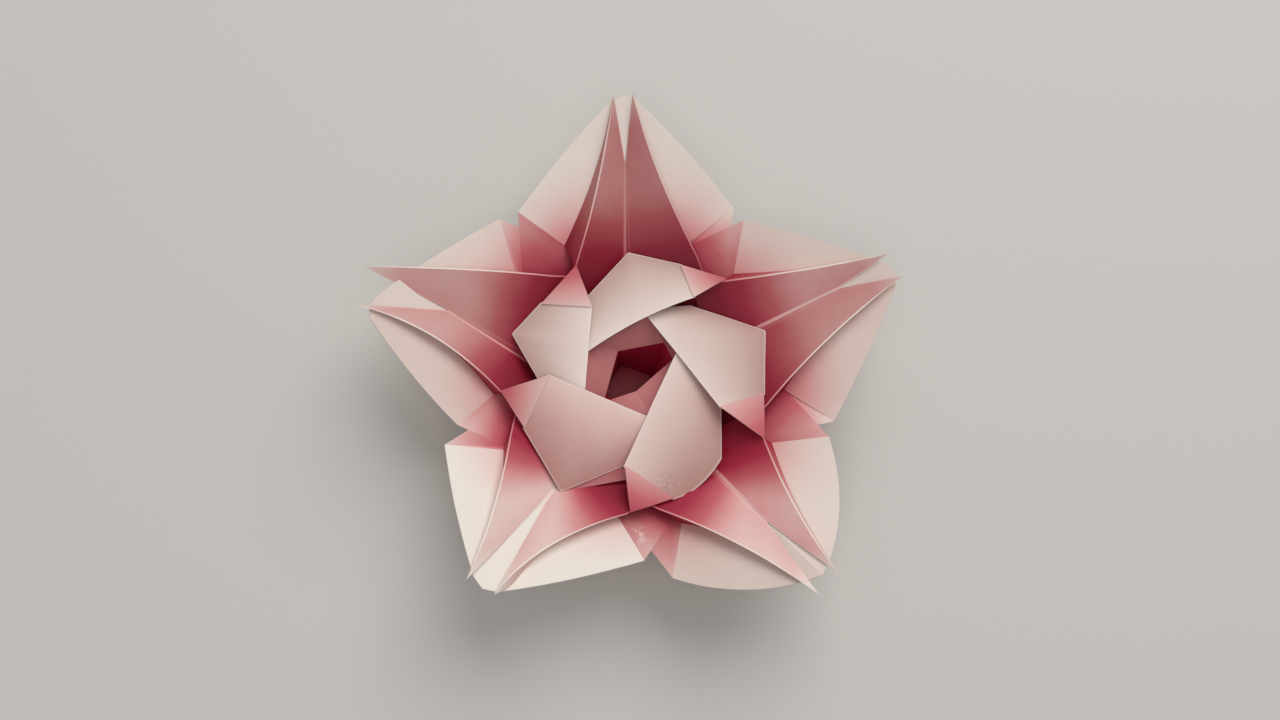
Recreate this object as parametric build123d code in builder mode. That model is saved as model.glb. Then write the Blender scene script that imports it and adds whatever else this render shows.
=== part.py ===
from build123d import *
import os

# Origami star flower: five keeled petals, each with a pair of pleated fins, round a pinwheel rose.
# Millimetres. A place is its reach from the flower's axis, its turn from a petal's middle line
# and its height above the floor that the flower rests on.

# Sheet
petals = 5
paper = 0.25

# Petals, kite-shaped, with a blunt tip and two wings that rise from the middle line
tip_reach = 51.3
tip_height = 22.3
tip_width = 4.8
tip_round = 0.9
edge_bulge = 0.6
wing_reach = 38.4
wing_gap_turn = 4.8
wing_height = 16.8
root_reach = 18.5
root_height = 8.0

# Gutters between the petals, each a valley that leans to the petal on its anticlockwise side
gutter_reach = 28.6
gutter_lean = 7.2
gutter_height = 12.0
notch_depth = 3.0

# Cup under the petals, with a flat floor
floor_reach = 12.0

# Fins, one pleat on each side of a petal's middle line, with free tips past the petal's own tip
fin_tip_reach = 54.4
fin_tip_spread = 5.0
fin_tip_height = 24.0
split_reach = 40.5
foot_spread = 12.4
foot_end_reach = 47.5
foot_end_spread = 3.4
ridge_root_reach = 27.0
ridge_root_height = 15.3
left_ridge_turn = 25.3
right_ridge_turn = 28.3
ridge_bend = 1.3

# Rose, five leaves in a pinwheel, each lying over the next one clockwise
leaf_corner_reach = 25.9
leaf_corner_height = 12.5
leaf_inner_reach = 17.7
leaf_inner_height = 15.5
leaf_tail_height = 13.4
leaf_crease = 12.0
leaf_tip_gap = 0.5
leaf_tuck = 2.5
leaf_tuck_turn = 5.0

# Well in the middle of the rose, a twisted funnel under the five-sided mouth between the leaves
mouth_reach = 10.3
mouth_turn = 54.4
mouth_lip = 0.5
neck_reach = 6.4
neck_height = 9.0
well_floor_reach = 5.2
well_twist = 20.0
well_layers = 2

petal_step = 360 / petals
up = (0, 0, 1)
inside_sheet = Vector(0, 0, paper / 2)


def fold_point(reach, turn, height=0.0):
    """A place on the flower, turned anticlockwise from the petal that points along +X."""
    return Vector(reach, 0, height).rotate(Axis.Z, turn)


def between(start, end, share):
    return start + (end - start) * share


def panel_plane(corners):
    """The plane of a flat panel, through its first three corners."""
    first, second, third = corners[:3]
    return Plane(first, x_dir=second - first, z_dir=(second - first).cross(third - first))


def settle(place, plane):
    """The same place in plan, moved up or down onto a plane."""
    return place + Vector(0, 0, (plane.origin - place).dot(plane.z_dir) / plane.z_dir.Z)


# Every panel is thickened straight up, so that two panels share the whole face of their fold.

# One petal and the gutter on its clockwise side
wing_turn = (petal_step - wing_gap_turn) / 2
root = fold_point(root_reach, 0, root_height)
tip_left = Vector(tip_reach, tip_width / 2, tip_height)
tip_right = Vector(tip_reach, -tip_width / 2, tip_height)
wing_left = fold_point(wing_reach, wing_turn, wing_height)
wing_right = fold_point(wing_reach, -wing_turn, wing_height)
gutter = fold_point(gutter_reach, gutter_lean - petal_step / 2, gutter_height)
next_wing = wing_left.rotate(Axis.Z, -petal_step)
next_root = root.rotate(Axis.Z, -petal_step)
notch = next_wing + (gutter - next_wing).normalized() * notch_depth
centre = Vector(0, 0, 0)
root_foot = fold_point(floor_reach, 0)
gutter_foot = fold_point(floor_reach, -petal_step / 2)
next_root_foot = fold_point(floor_reach, -petal_step)

web_panels = [
    (wing_right, notch, gutter),
    (wing_right, gutter, root),
    (next_wing, next_root, gutter),
]
cup_panels = [
    (root, gutter, gutter_foot),
    (gutter, next_root, gutter_foot),
    (root, gutter_foot, root_foot),
    (next_root, next_root_foot, gutter_foot),
    (root_foot, gutter_foot, centre),
    (gutter_foot, next_root_foot, centre),
]
# The two ends of each petal panel's curved edge, and how far that edge bulges
petal_edges = [
    (wing_left, tip_left, edge_bulge),
    (tip_left, tip_right, tip_round),
    (tip_right, wing_right, edge_bulge),
]

with BuildPart() as petal:
    for corners in web_panels + cup_panels:
        plane = panel_plane(corners)
        with BuildSketch(plane):
            with BuildLine():
                Polyline(*[plane.to_local_coords(corner) for corner in corners], close=True)
            make_face()
    for start, end, bulge in petal_edges:
        plane = panel_plane((start, end, root))
        arc_start, arc_end, keel_end = [plane.to_local_coords(c) for c in (start, end, root)]
        with BuildSketch(plane):
            with BuildLine():
                SagittaArc(arc_start, arc_end, -bulge)
                Polyline(arc_end, keel_end, arc_start)
            make_face()
    extrude(amount=paper, dir=up)

# The two fins of one petal, whose feet stand in the petal's own sheet
tip_middle = (tip_left + tip_right) / 2
keel = root + inside_sheet
split = between(root, tip_middle, (split_reach - root_reach) / (tip_reach - root_reach)) + inside_sheet

with BuildPart() as fins:
    for side, ridge_turn, wing, tip in (
        (1, left_ridge_turn, wing_left, tip_left),
        (-1, -right_ridge_turn, wing_right, tip_right),
    ):
        wing_plane = panel_plane((root, wing, tip))
        ridge_root = fold_point(ridge_root_reach, ridge_turn, ridge_root_height)
        fin_tip = Vector(fin_tip_reach, side * fin_tip_spread / 2, fin_tip_height)
        ridge_middle = (ridge_root + fin_tip) / 2 - Vector(0, side * ridge_bend, 0)
        foot = between(root, wing, foot_spread / abs(wing.Y)) + inside_sheet
        foot_end = settle(Vector(foot_end_reach, side * foot_end_spread), wing_plane) + inside_sheet
        foot_middle = (foot + foot_end) / 2 - Vector(0, side * ridge_bend, 0)
        foot_middle = settle(foot_middle, wing_plane) + inside_sheet
        fin_panels = [
            (keel, foot, ridge_root),
            (foot, foot_middle, ridge_root),
            (foot_middle, ridge_middle, ridge_root),
            (foot_middle, foot_end, ridge_middle),
            (foot_end, fin_tip, ridge_middle),
            (keel, ridge_root, split),
            (ridge_root, ridge_middle, split),
            (ridge_middle, fin_tip, split),
        ]
        for corners in fin_panels:
            plane = panel_plane(corners)
            with BuildSketch(plane):
                with BuildLine():
                    Polyline(*[plane.to_local_coords(corner) for corner in corners], close=True)
                make_face()
    extrude(amount=paper, dir=up)

# One rose leaf: its inner edge runs past the mouth's corner, and its tip lies over the next fin
leaf_corner = fold_point(leaf_corner_reach, 0, leaf_corner_height)
leaf_inner = fold_point(leaf_inner_reach, left_ridge_turn - petal_step, leaf_inner_height)
leaf_tip = fold_point(ridge_root_reach, left_ridge_turn - petal_step, ridge_root_height + leaf_tip_gap)
mouth = fold_point(mouth_reach, mouth_turn)
inner_in_plan = fold_point(leaf_inner_reach, left_ridge_turn - petal_step)
leaf_tail = mouth + (mouth - inner_in_plan).normalized() * leaf_tuck + Vector(0, 0, leaf_tail_height)
leaf_plane = panel_plane((leaf_corner, leaf_inner, leaf_tail))
crease = leaf_corner + (leaf_tip - leaf_corner).normalized() * leaf_crease
crease = settle(crease, leaf_plane)
tucked = settle(fold_point(leaf_inner_reach, left_ridge_turn + leaf_tuck_turn), leaf_plane)
leaf_panels = [
    (leaf_corner, crease, leaf_inner, leaf_tail, tucked),
    (crease, leaf_tip, leaf_inner),
]

with BuildPart() as rose_leaf:
    for corners in leaf_panels:
        plane = panel_plane(corners)
        with BuildSketch(plane):
            with BuildLine():
                Polyline(*[plane.to_local_coords(corner) for corner in corners], close=True)
            make_face()
    extrude(amount=paper, dir=up)

# The well, whose rim reaches into the sheet of the leaves above it
rim_reach = mouth_reach + mouth_lip
rim = settle(fold_point(rim_reach, mouth_turn), leaf_plane) + inside_sheet

with BuildPart() as well:
    for inset, mode in ((0, Mode.ADD), (well_layers * paper, Mode.SUBTRACT)):
        with BuildSketch(Plane.XY.offset(inset)):
            RegularPolygon(well_floor_reach - inset, petals, rotation=mouth_turn - 2 * well_twist)
        with BuildSketch(Plane.XY.offset(neck_height)):
            RegularPolygon(neck_reach - inset, petals, rotation=mouth_turn - well_twist)
        with BuildSketch(Plane.XY.offset(rim.Z)):
            RegularPolygon(rim_reach - inset, petals, rotation=mouth_turn)
        loft(ruled=True, mode=mode)

# The whole flower, with one petal pointing along +Y
with BuildPart() as star_flower:
    with PolarLocations(0, petals, start_angle=90):
        add(petal.part)
        add(fins.part)
        add(rose_leaf.part)
    with Locations(Rotation(0, 0, 90)):
        add(well.part)

star_flower.part.label = "star_flower"
os.makedirs("parts", exist_ok=True)
export_step(star_flower.part, "parts/star_flower.step")
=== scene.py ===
import math
import bmesh
import bpy
import numpy as np
from mathutils import Matrix, Vector


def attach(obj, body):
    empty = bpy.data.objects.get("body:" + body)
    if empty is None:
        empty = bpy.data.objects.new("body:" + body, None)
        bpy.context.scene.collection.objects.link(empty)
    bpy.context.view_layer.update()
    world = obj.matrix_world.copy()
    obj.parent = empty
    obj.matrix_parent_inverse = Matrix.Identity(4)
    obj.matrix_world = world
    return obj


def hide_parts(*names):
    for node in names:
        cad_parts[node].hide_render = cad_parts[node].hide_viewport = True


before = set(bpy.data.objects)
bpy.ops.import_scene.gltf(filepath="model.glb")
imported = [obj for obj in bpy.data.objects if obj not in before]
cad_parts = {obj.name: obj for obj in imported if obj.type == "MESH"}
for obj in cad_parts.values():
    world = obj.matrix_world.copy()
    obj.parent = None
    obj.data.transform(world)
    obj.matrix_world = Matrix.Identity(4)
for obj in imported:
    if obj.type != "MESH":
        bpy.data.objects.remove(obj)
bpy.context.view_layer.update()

mm = 0.001
petalCount = 5
petalStep = 360 / petalCount
paper = 0.22  # thickness of the sheet, mm
weldGap = 0.005  # points nearer than this become one, mm
creaseAngle = 8  # a fold sharper than this stays crisp, degrees


def paint(red, green, blue):  # screen colour, 0 to 255, as a node colour
    shares = (red / 255, green / 255, blue / 255)
    return [c / 12.92 if c <= 0.04045 else ((c + 0.055) / 1.055) ** 2.4 for c in shares] + [1.0]


# Petals count clockwise from the one along +Y. A shift is mm outward, to the petal's left, and up.
handFolds = {
    0: {"tip": (1.5, -0.3, 0.6), "finTipLeft": (-0.1, -0.5, 0), "finTipRight": (0, 0.7, 0),
        "ridgeLeft": (-3.1, -1.1, 0), "ridgeRight": (-1.1, -0.6, 0), "bendLeft": (0, 0.2, 0),
        "leafCorner": (-1.1, -0.2, 0), "leafFold": (-0.3, 1.4, 0), "leafInner": (1.9, 0.5, 0),
        "leafEdge": (1.2, 0, 0.3), "leafTip": (-1.0, 0.9, 0), "leafTail": (-2.7, 1.8, 0),
        "neck": (0, -0.8, 0)},
    1: {"tip": (0.6, -1.0, 0), "wingLeft": (-1.0, -0.5, 0), "wingRight": (-0.8, -1.7, 0),
        "split": (1.8, 1.5, 0.8), "finTipLeft": (-0.7, 0.2, 0), "ridgeLeft": (-1.2, -0.9, 0),
        "ridgeRight": (-2.9, -2.4, -0.4), "bendLeft": (0, 0.6, 0), "bendRight": (0, 0.3, 0),
        "leafCorner": (1.5, -0.8, 0), "leafFold": (0, -1.4, 0), "leafTip": (-0.9, -1.7, 0),
        "leafTail": (0.8, 1.1, 0), "neck": (2.9, 0.9, 0)},
    2: {"tip": (-0.6, -0.3, 0), "wingLeft": (1.1, -1.4, 0), "wingRight": (2.7, 0.5, 0),
        "edgeLeft": (1.0, 1.0, 0), "edgeRight": (1.0, -1.0, 0), "split": (-2.4, 0, -1.0),
        "finTipLeft": (-0.5, -0.7, 0), "finTipRight": (0.2, -1.0, 0), "ridgeLeft": (1.4, -1.4, 0),
        "ridgeRight": (-0.1, -1.1, 0), "bendRight": (0, 0.4, 0), "leafCorner": (-0.9, -2.8, 0),
        "leafRoundA": (-1.3, 4.3, 0.3), "leafRoundB": (-0.4, -4.2, 0.4), "leafFold": (2.2, 1.0, 0),
        "leafInner": (1.0, -1.5, 0), "leafTip": (2.0, 0.8, 0), "leafTail": (-4.2, 0.8, 0),
        "neck": (-3.3, 4.8, 0)},
    3: {"tip": (-1.0, -0.8, 0), "wingLeft": (-1.4, -0.7, 0), "wingRight": (0.6, -0.4, 0),
        "split": (-11.0, -0.2, -5.0), "finTipLeft": (-2.2, -0.9, 0), "finTipRight": (-1.8, -1.4, 0),
        "ridgeLeft": (0.3, 1.7, 0), "ridgeRight": (0.4, 0.1, 0), "bendLeft": (0, -1.6, 0),
        "leafCorner": (1.6, 0.7, 0), "leafInner": (-1.8, -0.6, 0), "leafTip": (-0.3, 0.6, 0),
        "leafTail": (1.1, -2.2, 0), "underTuck": (2.6, 4.2, 0), "neck": (-3.1, -1.7, 0)},
    4: {"tip": (-1.4, 4.0, 0), "wingLeft": (-2.5, -1.2, 0), "wingRight": (1.2, -0.1, 0),
        "keel": (0, 2.8, 0.4), "split": (-2.3, -3.6, -0.7), "finTipLeft": (-0.2, 2.5, 0),
        "ridgeLeft": (-0.6, -0.3, 0), "ridgeRight": (-3.2, -1.0, -0.4), "bendLeft": (0, -1.6, 0),
        "bendRight": (0, -1.5, 0), "leafCorner": (-1.0, -1.0, 0), "leafFold": (-0.4, 3.7, 0),
        "leafInner": (-0.7, 3.0, 0), "leafTip": (-2.0, 2.8, 0), "leafTail": (3.2, -1.9, 0),
        "neck": (-0.9, 2.9, 0)},
}
nextPoints = {"nextWingLeft": "wingLeft", "nextNeck": "neck"}  # points of the next petal clockwise
handNames = sorted({name for folds in handFolds.values() for name in folds} | set(nextPoints))


def petalShifts():  # each petal's shifts, in mm along X, Y and Z
    shifts = np.zeros((petalCount, len(handNames), 3))
    for petal in range(petalCount):
        for i, name in enumerate(handNames):
            source, own = petal, name
            if name in nextPoints:
                source, own = (petal + 1) % petalCount, nextPoints[name]
            out, left, rise = handFolds[source].get(own, (0, 0, 0))
            angle = math.radians(90 - petalStep * source)
            shifts[petal, i] = (out * math.cos(angle) - left * math.sin(angle),
                                out * math.sin(angle) + left * math.cos(angle), rise)
    return shifts


# A fold point carries its place in mm and how far it follows each hand-folded shift.
def foldPoint(reach, turn, height, follows=None):  # turn is anticlockwise from the petal's middle
    point = np.zeros(3 + len(handNames))
    point[0] = -reach * math.sin(math.radians(turn))
    point[1] = reach * math.cos(math.radians(turn))
    point[2] = height
    return following(point, follows) if follows else point


def following(point, name):  # the same place, following one more shift
    moved = np.array(point)
    moved[3 + handNames.index(name)] = 1
    return moved


def alike(point, name):  # the same place, following this shift alone
    moved = np.array(point)
    moved[3:] = 0
    return following(moved, name)


def lifted(point, rise, left=0.0, out=0.0):
    moved = np.array(point)
    moved[..., 0] -= left
    moved[..., 1] += out
    moved[..., 2] += rise
    return moved


def towards(start, end, run):  # a point so many mm along the way
    return start + (end - start) * run / np.linalg.norm((end - start)[:3])


def line(start, end, steps):
    share = np.linspace(0, 1, steps + 1)[:, None]
    return start * (1 - share) + end * share


def bow(start, middle, end, steps):  # a smooth curve through three points
    share = np.linspace(0, 1, steps + 1)[:, None]
    pull = 2 * middle - (start + end) / 2
    return start * (1 - share) ** 2 + 2 * pull * share * (1 - share) + end * share ** 2


def evenShares(steps, rim=0.0):  # from rail A to rail B, with a narrow step along each rim
    shares = np.linspace(rim, 1 - rim, steps + 1)
    return np.concatenate([[0.0], shares, [1.0]]) if rim else shares


def ruled(railA, railB, across):  # a grid of points between two rails
    share = across[None, :, None]
    return railA[:, None] * (1 - share) + railB[:, None] * share


# A dye here is a tint, from crimson at 0 to cream at 1, and a painted shade that darkens it where the light
# would be weak.
def cornerDyes(grid, across, dyes, fade):  # dyes at start A, start B, end A and end B
    run = np.clip((np.linspace(0, 1, len(grid)) - fade[0]) / (fade[1] - fade[0]), 0, 1)[:, None, None]
    run = run * run * (3 - 2 * run)  # eases in and out
    share = across[None, :, None]
    startA, startB, endA, endB = np.array(dyes)
    start = startA * (1 - share) + startB * share
    end = endA * (1 - share) + endB * share
    return start * (1 - run) + end * run


def newNet():
    return {"rows": [], "faces": []}


def withPaintedEdgeHighlight(dyes, paintedEdgeHighlight, share):  # a painted highlight, a paler line along each paper edge where it catches the light
    for column in (0, -1):
        dyes[:, column] = dyes[:, column] * (1 - share) + np.array(paintedEdgeHighlight) * share
    return dyes


def tipped(dyes, start, tipDye, share):  # paler toward the free end
    blend = np.clip((np.linspace(0, 1, len(dyes)) - start) / (1 - start), 0, 1)[:, None, None] * share
    return dyes * (1 - blend) + np.array(tipDye) * blend


def addGrid(net, grid, dyes, group=0):
    rows, columns = grid.shape[:2]
    first = len(net["rows"])
    for row in range(rows):
        for column in range(columns):
            net["rows"].append(np.append(grid[row, column], (group, *dyes[row, column])))
    for row in range(rows - 1):
        for column in range(columns - 1):
            corner = first + row * columns + column
            net["faces"].append((corner, corner + 1, corner + 1 + columns, corner + columns))


def addPanel(net, corners, dyes, steps, group=0):  # a flat three-cornered panel
    spot = {}
    for i in range(steps + 1):
        for j in range(steps + 1 - i):
            shares = (1 - (i + j) / steps, i / steps, j / steps)
            spot[i, j] = len(net["rows"])
            place = sum(share * corner for share, corner in zip(shares, corners))
            dye = sum(share * np.array(cornerDye) for share, cornerDye in zip(shares, dyes))
            net["rows"].append(np.append(place, (group, *dye)))
    for i in range(steps):
        for j in range(steps - i):
            net["faces"].append((spot[i, j], spot[i + 1, j], spot[i, j + 1]))
            if i + j < steps - 1:
                net["faces"].append((spot[i + 1, j], spot[i + 1, j + 1], spot[i, j + 1]))


def storeFloats(mesh, name, values, domain="POINT"):
    mesh.attributes.new(name, "FLOAT", domain).data.foreach_set("value", values.astype(np.float32))


def readFloats(mesh, name):
    layer = mesh.attributes[name].data
    values = np.zeros(len(layer), np.float32)
    layer.foreach_get("value", values)
    return values


def faceCorners(mesh):  # the vertex of every face corner
    corners = np.zeros(len(mesh.loops), np.int32)
    mesh.loops.foreach_get("vertex_index", corners)
    return corners


def netObject(name, net):
    rows = np.array(net["rows"])
    mesh = bpy.data.meshes.new(name)
    mesh.from_pydata((rows[:, :3] * mm).tolist(), [], net["faces"])
    for i, handName in enumerate(handNames):
        storeFloats(mesh, "follow_" + handName, rows[:, 3 + i])
    storeFloats(mesh, "group", rows[:, -3])
    storeFloats(mesh, "tint", rows[faceCorners(mesh), -2], "CORNER")
    # the painted shade of each face corner, which darkens its dye
    storeFloats(mesh, "paintedShade", rows[faceCorners(mesh), -1], "CORNER")
    piece = bpy.data.objects.new(name, mesh)
    bpy.context.scene.collection.objects.link(piece)
    return piece


# Geometry Nodes: one petal's net repeated round the axis and rippled like handled paper, the floor flat
def buildRingTree():
    tree = bpy.data.node_groups.new("petalRing", "GeometryNodeTree")
    sockets = (("Petal", "Geometry"), ("Petals", "Int"), ("Ripple", "Float"),
               ("RippleSize", "Float"), ("Seed", "Int"), ("Paper", "Material"))
    for name, kind in sockets:
        tree.interface.new_socket(name, in_out="INPUT", socket_type="NodeSocket" + kind)
    tree.interface.new_socket("Ring", in_out="OUTPUT", socket_type="NodeSocketGeometry")
    make, link = tree.nodes.new, tree.links.new
    inputs, outputs = make("NodeGroupInput"), make("NodeGroupOutput")

    def maths(operation, first, second):
        node = make("ShaderNodeMath")
        node.operation = operation
        for socket, value in zip(node.inputs, (first, second)):
            if isinstance(value, (int, float)):
                socket.default_value = value
            else:
                link(value, socket)
        return node.outputs[0]

    points, index = make("GeometryNodePoints"), make("GeometryNodeInputIndex")
    link(inputs.outputs["Petals"], points.inputs["Count"])
    stepAngle = maths("DIVIDE", -2 * math.pi, inputs.outputs["Petals"])
    spin = make("ShaderNodeCombineXYZ")
    link(maths("MULTIPLY", index.outputs[0], stepAngle), spin.inputs["Z"])
    place = make("GeometryNodeInstanceOnPoints")
    link(points.outputs[0], place.inputs["Points"])
    link(inputs.outputs["Petal"], place.inputs["Instance"])
    link(spin.outputs[0], place.inputs["Rotation"])
    number = make("GeometryNodeStoreNamedAttribute")
    number.data_type, number.domain = "FLOAT", "INSTANCE"
    number.inputs["Name"].default_value = "petalIndex"
    link(place.outputs[0], number.inputs["Geometry"])
    link(index.outputs[0], number.inputs["Value"])
    realize, noise = make("GeometryNodeRealizeInstances"), make("ShaderNodeTexNoise")
    link(number.outputs[0], realize.inputs[0])
    noise.noise_dimensions = "4D"
    position, height = make("GeometryNodeInputPosition"), make("ShaderNodeSeparateXYZ")
    link(position.outputs[0], noise.inputs["Vector"])
    link(position.outputs[0], height.inputs[0])
    link(inputs.outputs["Seed"], noise.inputs["W"])
    link(maths("DIVIDE", 1.0, inputs.outputs["RippleSize"]), noise.inputs["Scale"])
    noise.inputs["Detail"].default_value = 1.0  # soft waves with little fine grain
    centred, offset = make("ShaderNodeVectorMath"), make("ShaderNodeVectorMath")
    centred.operation, offset.operation = "SUBTRACT", "SCALE"
    link(noise.outputs["Color"], centred.inputs[0])
    centred.inputs[1].default_value = (0.5, 0.5, 0.5)  # the middle of the noise
    link(centred.outputs[0], offset.inputs[0])
    rise = maths("SUBTRACT", height.outputs["Z"], 2 * paper * mm)
    aboveFloor = maths("MINIMUM", maths("DIVIDE", rise, inputs.outputs["RippleSize"]), 1.0)
    aboveFloor = maths("MAXIMUM", aboveFloor, 0.0)
    link(maths("MULTIPLY", aboveFloor, inputs.outputs["Ripple"]), offset.inputs["Scale"])
    move, finish = make("GeometryNodeSetPosition"), make("GeometryNodeSetMaterial")
    link(realize.outputs[0], move.inputs["Geometry"])
    link(offset.outputs[0], move.inputs["Offset"])
    link(move.outputs[0], finish.inputs["Geometry"])
    link(inputs.outputs["Paper"], finish.inputs["Material"])
    link(finish.outputs[0], outputs.inputs[0])
    return tree


ringTree = buildRingTree()


def bake(piece):  # the modifiers' result becomes the piece's own mesh
    graph = bpy.context.evaluated_depsgraph_get()
    mesh = bpy.data.meshes.new_from_object(piece.evaluated_get(graph), preserve_all_data_layers=True,
                                           depsgraph=graph)
    piece.modifiers.clear()
    piece.data = mesh
    return mesh


def ring(piece, settings, material):
    sockets = [item for item in ringTree.interface.items_tree if item.in_out == "INPUT"]
    names = {socket.name: socket.identifier for socket in sockets}
    piece.data.materials.append(material)
    modifier = piece.modifiers.new("ring", "NODES")
    modifier.node_group = ringTree
    modifier[names["Petals"]] = petalCount
    modifier[names["Ripple"]] = settings["ripple"] * mm
    modifier[names["RippleSize"]] = settings["rippleSize"] * mm
    modifier[names["Seed"]] = settings["seed"]
    modifier[names["Paper"]] = material
    bake(piece)


def islands(net):  # faces in groups that hang together
    waiting = set(net.faces)
    while waiting:
        growing, island = [waiting.pop()], []
        while growing:
            face = growing.pop()
            island.append(face)
            near = {other for edge in face.edges for other in edge.link_faces} & waiting
            waiting -= near
            growing += near
        yield island


# A table of painted light and dye changes one petal's panel: a tint factor, an added painted shade and an
# added tint. These mostly stand for how the light falls on each petal, and partly for the paper's own dye.
def foldByHand(piece, paintedLightAndDye, closed=False):  # moves each petal's points by its own shifts, and sets its tint and painted shade
    mesh = piece.data
    petal, group = (np.rint(readFloats(mesh, name)).astype(int) for name in ("petalIndex", "group"))
    shifts = petalShifts()
    places = np.zeros(len(mesh.vertices) * 3, np.float32)
    mesh.vertices.foreach_get("co", places)
    places = places.reshape(-1, 3)
    for i, name in enumerate(handNames):
        places += (readFloats(mesh, "follow_" + name)[:, None] * shifts[petal, i] * mm).astype(np.float32)
        mesh.attributes.remove(mesh.attributes["follow_" + name])
    mesh.vertices.foreach_set("co", places.ravel())
    factor, added, lift = np.array(paintedLightAndDye)[group, petal][faceCorners(mesh)].T
    tint = readFloats(mesh, "tint") * factor + lift
    paintedShade = np.clip(readFloats(mesh, "paintedShade") + added, 0, 1)
    for name, values in (("tint", tint), ("paintedShade", paintedShade)):
        mesh.attributes[name].data.foreach_set("value", values.astype(np.float32))
    net = bmesh.new()
    net.from_mesh(mesh)
    bmesh.ops.remove_doubles(net, verts=net.verts, dist=weldGap * mm)
    if closed:
        bmesh.ops.holes_fill(net, edges=[edge for edge in net.edges if edge.is_boundary])
    bmesh.ops.recalc_face_normals(net, faces=net.faces)
    if not closed:
        for island in islands(net):
            if sum(face.normal.z * face.calc_area() for face in island) < 0:  # the dyed face is on top
                bmesh.ops.reverse_faces(net, faces=island)
    net.to_mesh(mesh)
    net.free()


def thicken(piece, back, edge):
    piece.data.materials.append(back)
    piece.data.materials.append(edge)
    modifier = piece.modifiers.new("paper", "SOLIDIFY")
    modifier.thickness = paper * mm
    modifier.offset = -1
    modifier.use_quality_normals = True
    modifier.material_offset = 1
    modifier.material_offset_rim = 2
    bake(piece)


def finishPiece(piece):
    piece.data.set_sharp_from_angle(angle=math.radians(creaseAngle))
    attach(piece, "root")
    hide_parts("star_flower")
    print(piece.name, len(piece.data.polygons), "faces")


# Paper finishes: a dyed face that runs from crimson through pink to cream, its paler back and its cut edge,
# each darkened by the painted shade
paperDye = {
    "front": ((0.0, paint(154, 14, 46)), (0.2, paint(180, 42, 70)), (0.4, paint(206, 102, 109)),
              (0.6, paint(228, 166, 163)), (0.78, paint(236, 208, 199)), (1.0, paint(240, 231, 220))),
    "back": ((0.0, paint(205, 120, 124)), (0.5, paint(230, 190, 186)), (1.0, paint(238, 230, 220))),
    "edge": ((0.0, paint(225, 150, 150)), (0.5, paint(240, 205, 200)), (1.0, paint(246, 238, 230))),
    # The painted shade darkens blue most and red least, so that it reads as warm bounced light.
    "paintedShadeWarmth": (0.88, 1.0, 1.08), "mottle": 0.05, "mottleSize": 6.0, "mottleDetail": 4.0,
    "roughness": 0.5, "sheen": 0.3,
    "fibre": 0.12, "fibreSize": 0.35, "fibreDetail": 3.0, "fibreDepth": 0.05,
}


# Marks of handling: a grey smudge on one leaf and a pale rub on one web, places and sizes in mm
paperMarks = (
    {"centre": (4.0, -22.3, 13.4), "radius": 3.0, "colour": paint(112, 98, 94), "strength": 0.75,
     "grain": 0.9, "grainDetail": 5.0, "from": 0.5, "to": 0.6},
    {"centre": (-1.5, -32.1, 14.5), "radius": 2.6, "colour": paint(238, 205, 196), "strength": 0.7,
     "grain": 1.3, "grainDetail": 5.0, "from": 0.48, "to": 0.62},
)


def noiseAt(tree, place, size, detail):  # cloudy noise in spots of one size, in mm
    noise = tree.nodes.new("ShaderNodeTexNoise")
    noise.inputs["Scale"].default_value = 1 / (size * mm)
    noise.inputs["Detail"].default_value = detail
    tree.links.new(place, noise.inputs["Vector"])
    return noise.outputs[0]


def addMark(tree, colour, place, mark):
    make, link = tree.nodes.new, tree.links.new
    away, fade = make("ShaderNodeVectorMath"), make("ShaderNodeMapRange")
    away.operation = "DISTANCE"
    link(place, away.inputs[0])
    away.inputs[1].default_value = [c * mm for c in mark["centre"]]
    link(away.outputs["Value"], fade.inputs["Value"])
    fade.inputs["From Max"].default_value = mark["radius"] * mm
    fade.inputs["To Min"].default_value, fade.inputs["To Max"].default_value = mark["strength"], 0.0
    patch = make("ShaderNodeMapRange")
    link(noiseAt(tree, place, mark["grain"], mark["grainDetail"]), patch.inputs["Value"])
    patch.inputs["From Min"].default_value, patch.inputs["From Max"].default_value = mark["from"], mark["to"]
    cover, mix = make("ShaderNodeMath"), make("ShaderNodeMix")
    cover.operation, mix.data_type = "MULTIPLY", "RGBA"
    link(fade.outputs[0], cover.inputs[0])
    link(patch.outputs[0], cover.inputs[1])
    link(cover.outputs[0], mix.inputs["Factor"])
    link(colour, mix.inputs[6])  # sockets 6 and 7 take the two colours
    mix.inputs[7].default_value = mark["colour"]
    return mix.outputs[2]


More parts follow.
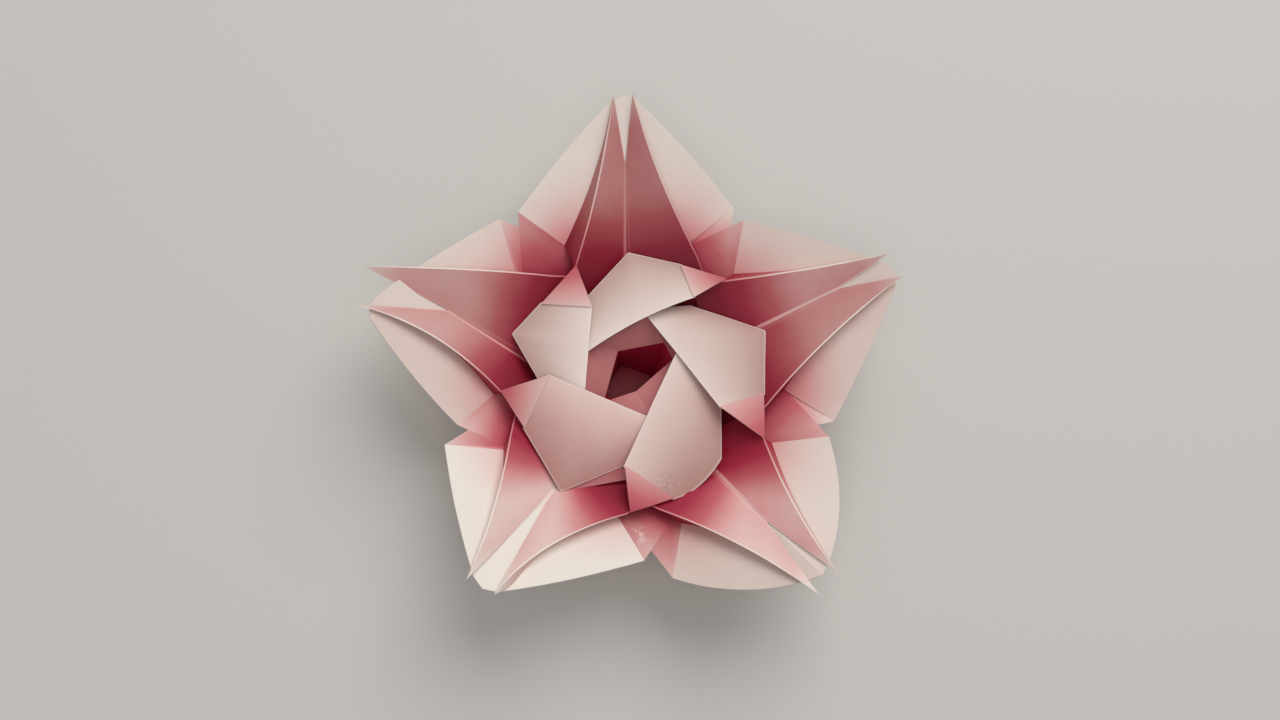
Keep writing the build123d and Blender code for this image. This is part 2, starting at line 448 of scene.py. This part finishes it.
def addDye(tree, place, stops):  # the tint, a little patchy, as a colour that the painted shade darkens
    make, link = tree.nodes.new, tree.links.new
    tint, patchy, dye = make("ShaderNodeAttribute"), make("ShaderNodeMath"), make("ShaderNodeMath")
    tint.attribute_name = "tint"
    patchy.operation = "MULTIPLY_ADD"
    link(noiseAt(tree, place, paperDye["mottleSize"], paperDye["mottleDetail"]), patchy.inputs[0])
    patchy.inputs[1].default_value = 2 * paperDye["mottle"]
    patchy.inputs[2].default_value = -paperDye["mottle"]
    link(tint.outputs["Fac"], dye.inputs[0])
    link(patchy.outputs[0], dye.inputs[1])
    ramp = make("ShaderNodeValToRGB")
    while len(ramp.color_ramp.elements) < len(stops):
        ramp.color_ramp.elements.new(1.0)
    for element, (at, colour) in zip(ramp.color_ramp.elements, stops):
        element.position, element.color = at, colour
    link(dye.outputs[0], ramp.inputs["Fac"])
    paintedShade = make("ShaderNodeAttribute")
    paintedShade.attribute_name = "paintedShade"
    depth, shaded = make("ShaderNodeVectorMath"), make("ShaderNodeVectorMath")
    depth.operation, shaded.operation = "MULTIPLY_ADD", "MULTIPLY"
    link(paintedShade.outputs["Fac"], depth.inputs[0])
    depth.inputs[1].default_value = [-share for share in paperDye["paintedShadeWarmth"]]
    depth.inputs[2].default_value = (1, 1, 1)
    link(ramp.outputs["Color"], shaded.inputs[0])
    link(depth.outputs[0], shaded.inputs[1])
    return shaded.outputs[0]


def paperMaterial(name, stops):
    material = bpy.data.materials.new(name)
    material.use_nodes = True
    tree = material.node_tree
    make, link = tree.nodes.new, tree.links.new
    shader = tree.nodes["Principled BSDF"]
    shader.inputs["Roughness"].default_value = paperDye["roughness"]
    shader.inputs["Specular IOR Level"].default_value = paperDye["sheen"]
    place = make("ShaderNodeTexCoord").outputs["Object"]
    colour = addDye(tree, place, stops)
    for mark in paperMarks:
        colour = addMark(tree, colour, place, mark)
    link(colour, shader.inputs["Base Color"])
    bump = make("ShaderNodeBump")
    link(noiseAt(tree, place, paperDye["fibreSize"], paperDye["fibreDetail"]), bump.inputs["Height"])
    bump.inputs["Strength"].default_value = paperDye["fibre"]
    bump.inputs["Distance"].default_value = paperDye["fibreDepth"] * mm
    link(bump.outputs[0], shader.inputs["Normal"])
    return material


dyedFace = paperMaterial("dyedFace", paperDye["front"])
paleBack = paperMaterial("paleBack", paperDye["back"])
cutEdge = paperMaterial("cutEdge", paperDye["edge"])
print("paper finishes made")

# Petal sheet: two wings on a keel, the webs of one gutter and the cup below
sheet = {
    "rootReach": 18.5, "rootHeight": 8.0, "tipReach": 51.3, "tipHeight": 22.3, "tipWidth": 4.8,
    "tipRound": 0.9, "edgeBulge": 0.6, "bulgeLean": 0.7, "wingReach": 38.4, "wingTurn": 33.6,
    "wingHeight": 16.8,
    "gutterReach": 29.0, "gutterTurn": -26.4, "gutterHeight": 12.7, "notchDepth": 3.0,
    "floorReach": 12.0, "along": 30, "across": 16,
    # Toward the fins the wings turn pink: partly the paper's own pink, partly a painted glow of the light
    # that the pink fins reflect onto them.
    "wingDyesAndPaintedGlow": ((-0.35, 0), (0.97, 0), (0.97, 0), (1.0, 0)), "wingFade": (-0.12, 0.55),
    # The petal roots are crimson dye with painted shade, for the shade deep between the petals.
    "rootDyeAndPaintedShade": (0.0, 0.3), "cupDye": (0.15, 0.0),
    "stripDyesAndPaintedLight": ((0.8, 0), (0.6, 0.03), (0.3, 0.05)), "webDyes": ((0.7, 0), (0.68, 0), (0.24, 0)),
    "ripple": 0.35, "rippleSize": 14.0, "seed": 3,
    # Per petal, the wings, webs and strips get their own tint and painted shade: darker where they turn from
    # the light or lie in shadow, paler where the light falls full on them.
    "leftPaintedLightAndDye": ((0.9, 0.02, 0.06), (0.7, 0.12, 0.2), (0.65, 0.08, 0.3), (0.6, 0.03, 0.42),
                  (0.6, 0.18, 0.28)),
    "rightPaintedLightAndDye": ((0.9, 0.03, 0.06), (0.8, 0.12, 0.05), (0.55, 0.24, 0.36), (0.6, 0.02, 0.45),
                   (0.75, 0.07, 0.18)),
    "gutterPaintedLightAndDye": ((0.95, 0.1, 0), (0.95, 0.1, 0), (1.0, 0.18, 0), (1.05, 0.04, 0), (0.85, 0.14, 0)),
    "stripPaintedLightAndDye": ((1.12, -0.05, 0), (1.15, -0.05, 0), (0.95, 0.25, 0), (1.0, -0.05, 0), (1.0, 0.06, 0)),
}
root = foldPoint(sheet["rootReach"], 0, sheet["rootHeight"])
tip = foldPoint(sheet["tipReach"], 0, sheet["tipHeight"], "tip")
tipLeft, tipRight = lifted(tip, 0, sheet["tipWidth"] / 2), lifted(tip, 0, -sheet["tipWidth"] / 2)
wingLeft = foldPoint(sheet["wingReach"], sheet["wingTurn"], sheet["wingHeight"], "wingLeft")
wingRight = foldPoint(sheet["wingReach"], -sheet["wingTurn"], sheet["wingHeight"], "wingRight")
gutter = foldPoint(sheet["gutterReach"], sheet["gutterTurn"], sheet["gutterHeight"])
nextWing = foldPoint(sheet["wingReach"], sheet["wingTurn"] - petalStep, sheet["wingHeight"], "nextWingLeft")
nextRoot = foldPoint(sheet["rootReach"], -petalStep, sheet["rootHeight"])
notchShare = sheet["notchDepth"] / np.linalg.norm((gutter - nextWing)[:3])
notch = nextWing * (1 - notchShare) + gutter * notchShare
rootFoot, nextRootFoot = foldPoint(sheet["floorReach"], 0, 0), foldPoint(sheet["floorReach"], -petalStep, 0)
gutterFoot = foldPoint(sheet["floorReach"], -petalStep / 2, 0)
centre = foldPoint(0, 0, 0)

sheetNet = newNet()
wingShares = evenShares(sheet["across"])  # even, so that the wings weld to the webs along their folds
keelRail = line(root, lifted(tip, 0, 0, sheet["tipRound"]), sheet["along"])
bulge = sheet["edgeBulge"] * sheet["bulgeLean"]  # outward and sideways alike
for group, wing, tipCorner, side, edgeName in ((0, wingLeft, tipLeft, 1, "edgeLeft"),
                                               (1, wingRight, tipRight, -1, "edgeRight")):
    edgeMiddle = lifted((wing + tipCorner) / 2, 0, side * bulge, bulge)
    edgeRail = bow(wing, following(edgeMiddle, edgeName), tipCorner, sheet["along"])
    grid = ruled(keelRail, edgeRail, wingShares)
    addGrid(sheetNet, grid, cornerDyes(grid, wingShares, sheet["wingDyesAndPaintedGlow"], sheet["wingFade"]), group)
stripWing, stripNotch, stripGutter = sheet["stripDyesAndPaintedLight"]
webWing, webNotch, webGutter = sheet["webDyes"]
rootDyeAndPaintedShade, cup = sheet["rootDyeAndPaintedShade"], sheet["cupDye"]
for group, corners, dyes in (
    (3, (wingRight, notch, gutter), (stripWing, stripNotch, stripGutter)),
    (3, (wingRight, gutter, root), (stripWing, stripGutter, rootDyeAndPaintedShade)),
    (2, (nextWing, nextRoot, notch), (webWing, rootDyeAndPaintedShade, webNotch)),
    (2, (notch, nextRoot, gutter), (webNotch, rootDyeAndPaintedShade, webGutter)),
    (2, (root, gutter, gutterFoot), (rootDyeAndPaintedShade, webGutter, cup)),
    (2, (gutter, nextRoot, gutterFoot), (webGutter, rootDyeAndPaintedShade, cup)),
    (2, (root, gutterFoot, rootFoot), (rootDyeAndPaintedShade, cup, cup)),
    (2, (nextRoot, nextRootFoot, gutterFoot), (rootDyeAndPaintedShade, cup, cup)),
    (2, (rootFoot, gutterFoot, centre), (cup, cup, cup)),
    (2, (gutterFoot, nextRootFoot, centre), (cup, cup, cup)),
):
    addPanel(sheetNet, corners, dyes, sheet["across"], group)
for row in sheetNet["rows"]:
    row[2] += paper  # the fold points are on the sheet's lower face
petals = netObject("petals", sheetNet)
ring(petals, sheet, dyedFace)
foldByHand(petals, (sheet["leftPaintedLightAndDye"], sheet["rightPaintedLightAndDye"], sheet["gutterPaintedLightAndDye"], sheet["stripPaintedLightAndDye"]))
thicken(petals, paleBack, cutEdge)
finishPiece(petals)

# Fins: a pleat on each side of the keel, closed along its ridge, with a free tip
fin = {
    "tipReach": 53.5, "tipSpread": 2.5, "tipHeight": 24.0, "splitReach": 40.5, "footSpread": 12.4,
    "footEndReach": 47.5, "footEndSpread": 3.4, "ridgeReach": 27.0, "ridgeHeight": 15.3,
    "leftTurn": 25.3, "rightTurn": 28.3, "ridgeBend": 1.0, "ridgeWidth": 0.3, "ridgeTaper": 4.0,
    "rootRun": 6.0, "rootDrop": 2.4, "footRun": 5.0, "keelRun": 3.0, "keelDrop": 0.7,
    "splitShare": 0.62, "footShare": 0.8, "rootSteps": 6, "along": 40, "across": 10,
    # The valley band is painted lighter or darker, standing for the light and shade along the fold's edge
    # beside the valley.
    "valleyGap": 0.015, "valleyWidth": 0.07, "valleyPaintedEdgeLight": ((0.4, 0.0), (0.3, 0.05), (0.85, 0), (0.8, 0)),
    # Toward the roots the fins are crimson dye with painted shade, for the shade under the rose leaves and
    # in the narrow gap between fin and wing.
    "innerDyesAndPaintedShade": ((-0.25, 0.25), (0.0, 0.25), (0.68, 0.05), (0.74, 0.04)),
    # The ridge strip is painted paler than the fin faces, a painted highlight along each ridge.
    "stripDyesAndPaintedLight": ((0.35, 0.1), (0.35, 0.1), (0.9, 0), (0.9, 0)),
    "outerDyesAndPaintedShade": ((0.16, 0.2), (0.05, 0.3), (0.7, 0.1), (0.7, 0.1)),
    "underDyes": ((0.2, 0), (0.2, 0), (0.85, 0), (0.85, 0)), "fade": (-0.04, 0.58),
    "tipDye": (1.0, 0.0), "tipStart": 0.84, "tipShare": 0.75,
    "ripple": 0.2, "rippleSize": 12.0, "seed": 5,
    # Per petal, each fin, its valley band and its ridge get their own tint and painted shade: darker on fins
    # turned away from the light, paler on fins the light falls on.
    "leftPaintedLightAndDye": ((0.8, 0.3, 0), (0.9, 0.1, -0.03), (1.0, 0, -0.06), (1.1, 0, -0.05), (0.9, 0.18, 0.0)),
    "rightPaintedLightAndDye": ((0.75, 0.27, 0), (0.85, 0.25, 0), (1.1, 0, -0.08), (0.95, 0, 0.08), (0.95, 0.22, -0.05)),
    "valleyPaintedLightAndDye": ((0.72, 0.24, 0), (0.85, 0, 0.04), (0.9, 0.02, -0.05), (1.0, 0, 0), (0.6, 0, 0.12)),
    "ridgePaintedLightAndDye": ((0.85, 0.08, 0), (1.04, 0, 0), (1.04, 0, 0), (1.08, 0, 0), (1.02, 0, 0)),
}


def onWing(wing, out, left):  # the point of the flat wing at a place in plan
    normal = np.cross((tip - root)[:3], (wing - root)[:3])
    point = lifted(root, 0, left, out - sheet["rootReach"])
    point[2] = root[2] - (normal[:2] @ (point[:2] - root[:2])) / normal[2]
    return point


def finRails(side, turn, wing, end):  # valley, ridge and foot of one fin, from under the rose to the tip
    steps, rootSteps, sunk = fin["along"], fin["rootSteps"], paper / 2
    splitStep, footStep = round(fin["splitShare"] * steps), round(fin["footShare"] * steps)
    ridgeRoot = foldPoint(fin["ridgeReach"], turn, fin["ridgeHeight"], "ridge" + end)
    finTip = foldPoint(fin["tipReach"], 0, fin["tipHeight"], "finTip" + end)
    finTip = lifted(finTip, 0, side * fin["tipSpread"])
    bend = following(lifted((ridgeRoot + finTip) / 2, 0, -side * fin["ridgeBend"]), "bend" + end)
    inward = (ridgeRoot - bend)[:2]
    inward = inward * fin["rootRun"] / np.linalg.norm(inward)
    hiddenRidge = lifted(ridgeRoot, -fin["rootDrop"], -inward[0], inward[1])
    ridge = np.concatenate([line(hiddenRidge, ridgeRoot, rootSteps)[:-1],
                            bow(ridgeRoot, bend, finTip, steps)])
    keel = alike(lifted(root, sunk, side * fin["valleyGap"]), "keel")
    hiddenKeel = lifted(keel, -fin["keelDrop"], 0, -fin["keelRun"])
    keelShare = (fin["splitReach"] - sheet["rootReach"]) / (sheet["tipReach"] - sheet["rootReach"])
    split = lifted(root * (1 - keelShare) + tip * keelShare, sunk, side * fin["valleyGap"])
    split = following(split, "split")
    valley = np.concatenate([line(hiddenKeel, keel, rootSteps)[:-1], line(keel, split, splitStep)[:-1],
                             line(split, finTip, steps - splitStep)])
    feetShares = [(fin["footSpread"] - run) / abs(wing[0]) for run in (fin["footRun"], 0)]
    hiddenFoot, foot = (lifted(root * (1 - share) + wing * share, sunk) for share in feetShares)
    footEnd = lifted(onWing(wing, fin["footEndReach"], side * fin["footEndSpread"]), sunk)
    middle = lifted((foot + footEnd) / 2, 0, -side * fin["ridgeBend"])
    middle = following(lifted(onWing(wing, middle[1], -middle[0]), sunk), "bend" + end)
    feet = np.concatenate([line(hiddenFoot, foot, rootSteps)[:-1], bow(foot, middle, footEnd, footStep)[:-1],
                           line(footEnd, finTip, steps - footStep)])
    return valley, ridge, feet


finNet = newNet()
for group, side, turn, wing, end in ((0, 1, fin["leftTurn"], wingLeft, "Left"),
                                     (1, -1, -fin["rightTurn"], wingRight, "Right")):
    valley, ridge, feet = finRails(side, turn, wing, end)
    taper = np.minimum(1, np.linspace(fin["ridgeTaper"], 0, len(ridge)))[:, None]  # narrow at the tip only
    innerRidge, outerRidge = (ridge + (lifted(ridge, 0, way * fin["ridgeWidth"] / 2) - ridge) * taper
                              for way in (-side, side))
    bandRail = valley * (1 - fin["valleyWidth"]) + innerRidge * fin["valleyWidth"]
    bandDyes, bandGroup = fin["innerDyesAndPaintedShade"], group
    if end == "Left":  # only the left fin gets a painted edge light beside its valley
        bandDyes, bandGroup = fin["valleyPaintedEdgeLight"], 2
    for railA, railB, columns, panelDyes, panelGroup in (
        (valley, bandRail, 1, bandDyes, bandGroup),
        (bandRail, innerRidge, fin["across"], fin["innerDyesAndPaintedShade"], group),
        (innerRidge, outerRidge, 1, fin["stripDyesAndPaintedLight"], 3),
        (outerRidge, feet, fin["across"], fin["outerDyesAndPaintedShade"], group),
        (feet, valley, fin["across"], fin["underDyes"], group),
    ):
        across = evenShares(columns)
        grid = ruled(railA, railB, across)
        dyes = cornerDyes(grid, across, panelDyes, fin["fade"])
        addGrid(finNet, grid, tipped(dyes, fin["tipStart"], fin["tipDye"], fin["tipShare"]), panelGroup)
fins = netObject("fins", finNet)
ring(fins, fin, dyedFace)
foldByHand(fins, (fin["leftPaintedLightAndDye"], fin["rightPaintedLightAndDye"], fin["valleyPaintedLightAndDye"], fin["ridgePaintedLightAndDye"]), closed=True)
finishPiece(fins)

# Rose leaves: each lies over the next one clockwise, with a pink flap over its outer end
leaf = {
    "cornerReach": 25.9, "cornerHeight": 12.5, "innerReach": 17.7, "innerHeight": 15.5,
    "tipReach": 27.0, "tipTurn": 25.3 - petalStep, "tipHeight": 15.8, "foldShare": 0.6,
    "tailReach": 11.5, "tailTurn": 65.0, "tailHeight": 13.4, "tuckReach": 17.7, "tuckTurn": 30.3,
    "tuckHeight": 12.6, "cornerShare": 0.5, "dome": 0.7, "flapRise": 0.3, "flapLap": 0.4, "flapTipRise": 0.1,
    "along": 26, "across": 16, "roundSteps": 5, "rounding": 0.5,
    "underDrop": 0.5, "underCornerIn": 0.3, "underTuckIn": 1.05, "underTuckRight": 1.5,
    "rimWidth": 0.03, "paintedEdgeHighlight": (1.0, 0.0), "paintedEdgeHighlightShare": 0.55,
    # The leaves are painted darker and warmer toward their outer ends, for the shade that the fins and the
    # leaf above throw there.
    "leafDyesAndPaintedShade": ((0.74, 0.42), (0.93, 0.04), (0.74, 0.46), (0.9, 0.08)), "leafFade": (-0.5, 1.5),
    "flapDyes": ((0.64, 0.12), (0.78, 0.04), (0.32, 0.06)),
    # The layer under a leaf carries painted shade, as it lies in that leaf's shadow.
    "underDyes": ((0.5, 0.2), (0.5, 0.2), (0.3, 0.3)),
    "ripple": 0.3, "rippleSize": 10.0, "seed": 11,
    # Per petal, each leaf and flap gets its own tint and painted shade, darker where less light reaches it.
    "leafPaintedLightAndDye": ((1.0, 0, 0), (0.97, 0.04, 0), (0.91, 0.04, 0), (0.84, 0.01, 0), (1.0, -0.05, 0)),
    "flapPaintedLightAndDye": ((1.0, 0.04, 0), (0.88, 0.05, 0), (0.8, 0.06, 0), (1.0, 0.12, 0), (0.99, 0.04, 0)),
}
leafCorner = foldPoint(leaf["cornerReach"], 0, leaf["cornerHeight"], "leafCorner")
leafInner = foldPoint(leaf["innerReach"], leaf["tipTurn"], leaf["innerHeight"], "leafInner")
leafTip = foldPoint(leaf["tipReach"], leaf["tipTurn"], leaf["tipHeight"], "leafTip")
leafFold = alike(leafCorner * (1 - leaf["foldShare"]) + leafTip * leaf["foldShare"], "leafFold")
leafTail = foldPoint(leaf["tailReach"], leaf["tailTurn"], leaf["tailHeight"], "leafTail")
leafTuck = foldPoint(leaf["tuckReach"], leaf["tuckTurn"], leaf["tuckHeight"])
leafNet = newNet()
cornerStep = round(leaf["cornerShare"] * leaf["along"])
roundA = following(towards(leafCorner, leafTuck, leaf["rounding"]), "leafRoundA")
roundB = following(towards(leafCorner, leafFold, leaf["rounding"]), "leafRoundB")
roundMiddle = (roundA + 2 * leafCorner + roundB) / 4
roundSteps = leaf["roundSteps"]
outerRail = np.concatenate([line(leafTuck, roundA, cornerStep - roundSteps)[:-1],
                            bow(roundA, roundMiddle, roundB, 2 * roundSteps)[:-1],
                            line(roundB, leafFold, leaf["along"] - cornerStep - roundSteps)])
edgeMiddle = following((leafTail + leafInner) / 2, "leafEdge")
innerRail = bow(leafTail, edgeMiddle, leafInner, leaf["along"])
across = evenShares(leaf["across"], leaf["rimWidth"])
grid = ruled(outerRail, innerRail, across)
alongShare = np.linspace(0, 1, leaf["along"] + 1)[:, None]
grid[:, :, 2] += leaf["dome"] * np.sin(math.pi * alongShare) * np.sin(math.pi * across[None, :])
dyes = cornerDyes(grid, across, leaf["leafDyesAndPaintedShade"], leaf["leafFade"])
addGrid(leafNet, grid, withPaintedEdgeHighlight(dyes, leaf["paintedEdgeHighlight"], leaf["paintedEdgeHighlightShare"]))
lap = (leafTip - (leafFold + leafInner) / 2)[:3]
lap *= leaf["flapLap"] / np.linalg.norm(lap)
flapFold, flapInner = (lifted(point, leaf["flapRise"] - lap[2], lap[0], -lap[1])
                       for point in (leafFold, leafInner))
flapTip = lifted(leafTip, leaf["flapTipRise"])
addPanel(leafNet, (flapFold, flapInner, flapTip), leaf["flapDyes"], leaf["across"], 1)
underCorner = lifted(leafCorner, -leaf["underDrop"], 0, -leaf["underCornerIn"])
underTuck = lifted(leafTuck, -leaf["underDrop"], -leaf["underTuckRight"], -leaf["underTuckIn"])
underTuck = following(underTuck, "underTuck")
underInner = lifted((leafTuck + leafFold) / 2, -leaf["underDrop"])
addPanel(leafNet, (underCorner, underTuck, underInner), leaf["underDyes"], leaf["across"], 1)
for row in leafNet["rows"]:
    row[2] += paper
leaves = netObject("roseLeaves", leafNet)
ring(leaves, leaf, dyedFace)
foldByHand(leaves, (leaf["leafPaintedLightAndDye"], leaf["flapPaintedLightAndDye"]))
thicken(leaves, paleBack, cutEdge)
finishPiece(leaves)

# Well: blades that slope in under the leaves, then steep twisted walls down to a small floor
funnel = {
    "rimReach": 12.2, "rimTurn": 54.4, "rimHeight": 13.0, "neckReach": 6.4, "neckTurn": 34.4,
    "neckHeight": 9.5, "floorReach": 5.2, "floorTurn": 14.4, "along": 14, "across": 10,
    # The blades and walls carry painted shade, for the shade inside the well; the walls darken down to the
    # floor.
    "bladeDyesAndPaintedShade": ((0.5, 0.35), (0.5, 0.25), (0.5, 0.35), (0.5, 0.25)),
    "wallDyesAndPaintedShade": ((0.08, 0), (0.0, 0.4), (0.08, 0), (0.0, 0.4)), "fade": (0.0, 1.0),
    "ripple": 0.2, "rippleSize": 8.0, "seed": 17, "paintedLightAndDye": ((1, 0, 0),) * petalCount,
}


def wellCorners(part, height, follows=(None, None)):  # the two corners of one wall, at one level
    turns = (funnel[part + "Turn"], funnel[part + "Turn"] - petalStep)
    reach = funnel[part + "Reach"]
    return [foldPoint(reach, turn, height, name) for turn, name in zip(turns, follows)]


rim = wellCorners("rim", funnel["rimHeight"])
neck = wellCorners("neck", funnel["neckHeight"], ("neck", "nextNeck"))
wellFloor = wellCorners("floor", paper)
wellNet = newNet()
rimRail, neckRail, floorRail = (line(*pair, funnel["along"]) for pair in (rim, neck, wellFloor))
across = evenShares(funnel["across"])
for railA, railB, dyes in ((rimRail, neckRail, funnel["bladeDyesAndPaintedShade"]),
                           (neckRail, floorRail, funnel["wallDyesAndPaintedShade"])):
    grid = ruled(railA, railB, across)
    addGrid(wellNet, grid, cornerDyes(grid, across, dyes, funnel["fade"]))
addPanel(wellNet, (*wellFloor, foldPoint(0, 0, paper)), [funnel["wallDyesAndPaintedShade"][1]] * 3, funnel["along"])
for row in wellNet["rows"]:
    row[2] += paper
well = netObject("roseWell", wellNet)
ring(well, funnel, dyedFace)
foldByHand(well, [funnel["paintedLightAndDye"]])
thicken(well, paleBack, cutEdge)
finishPiece(well)

# Studio: pale floor, a soft key from behind on the right, a fill from the camera's side and an even sky
studio = {"floor": paint(206, 202, 196), "floorSize": 12.0, "floorRoughness": 0.8,
          "sky": paint(226, 226, 228), "skyStrength": 0.39,
          "keyAngle": 64.0, "keyHeight": 52.0, "keyDistance": 0.9, "keySize": 0.9, "keyPower": 5.3,
          "fillAngle": -113.7, "fillHeight": 68.0, "fillDistance": 1.0, "fillSize": 0.6, "fillPower": 2.0}
floorMesh = bpy.data.meshes.new("floor")
half = studio["floorSize"] / 2
floorCorners = [(-half, -half, 0), (half, -half, 0), (half, half, 0), (-half, half, 0)]
floorMesh.from_pydata(floorCorners, [], [(0, 1, 2, 3)])
floor = bpy.data.objects.new("floor", floorMesh)
bpy.context.scene.collection.objects.link(floor)
floorPaint = bpy.data.materials.new("floorPaint")
floorPaint.use_nodes = True
floorShader = floorPaint.node_tree.nodes["Principled BSDF"]
floorShader.inputs["Base Color"].default_value = studio["floor"]
floorShader.inputs["Roughness"].default_value = studio["floorRoughness"]
floorMesh.materials.append(floorPaint)

world = bpy.data.worlds.new("studioSky")
world.use_nodes = True
world.node_tree.nodes["Background"].inputs["Color"].default_value = studio["sky"]
world.node_tree.nodes["Background"].inputs["Strength"].default_value = studio["skyStrength"]
bpy.context.scene.world = world


def areaLamp(name, angle, height, distance, size, power):
    lamp = bpy.data.lights.new(name, "AREA")
    lamp.shape, lamp.size, lamp.energy = "DISK", size, power
    holder = bpy.data.objects.new(name, lamp)
    bpy.context.scene.collection.objects.link(holder)
    around, above = math.radians(angle), math.radians(height)
    flat = math.cos(above)
    toward = Vector((math.cos(around) * flat, math.sin(around) * flat, math.sin(above)))
    holder.location = toward * distance
    holder.rotation_mode = "QUATERNION"
    holder.rotation_quaternion = toward.to_track_quat("Z", "Y")


lampParts = ("Angle", "Height", "Distance", "Size", "Power")
for lampName in ("key", "fill"):
    areaLamp(lampName, *(studio[lampName + part] for part in lampParts))
print("studio set")

# Camera at the photo's angle, in mm and pixels of a 1280 wide picture
shot = {"azimuth": -23.7, "elevation": 72.3, "roll": 20.7, "distance": 277.5, "aimHeight": 4.5,
        "pan": (-1.76, -4.78), "focalPixels": 1400.0, "pictureWidth": 1280.0, "sensor": 36.0,
        "nearest": 10.0, "farthest": 20000.0}
azimuth, elevation, roll = (math.radians(shot[name]) for name in ("azimuth", "elevation", "roll"))
flat = math.cos(elevation)
back = Vector((math.sin(azimuth) * flat, -math.cos(azimuth) * flat, math.sin(elevation)))
level = Vector((math.cos(azimuth), math.sin(azimuth), 0))
rise = back.cross(level)
right = level * math.cos(roll) + rise * math.sin(roll)
up = rise * math.cos(roll) - level * math.sin(roll)
aim = Vector((0, 0, shot["aimHeight"])) - right * shot["pan"][0] - up * shot["pan"][1]
eye = aim + back * shot["distance"]
lens = bpy.data.cameras.new("photoCamera")
lens.sensor_width = shot["sensor"]
lens.lens = shot["focalPixels"] / shot["pictureWidth"] * shot["sensor"]
lens.clip_start, lens.clip_end = shot["nearest"] * mm, shot["farthest"] * mm
camera = bpy.data.objects.new("photoCamera", lens)
bpy.context.scene.collection.objects.link(camera)
turnMatrix = Matrix((right, up, back)).transposed().to_4x4()
camera.matrix_world = Matrix.Translation(eye * mm) @ turnMatrix
bpy.context.scene.camera = camera
bpy.context.scene.view_settings.view_transform = "Standard"
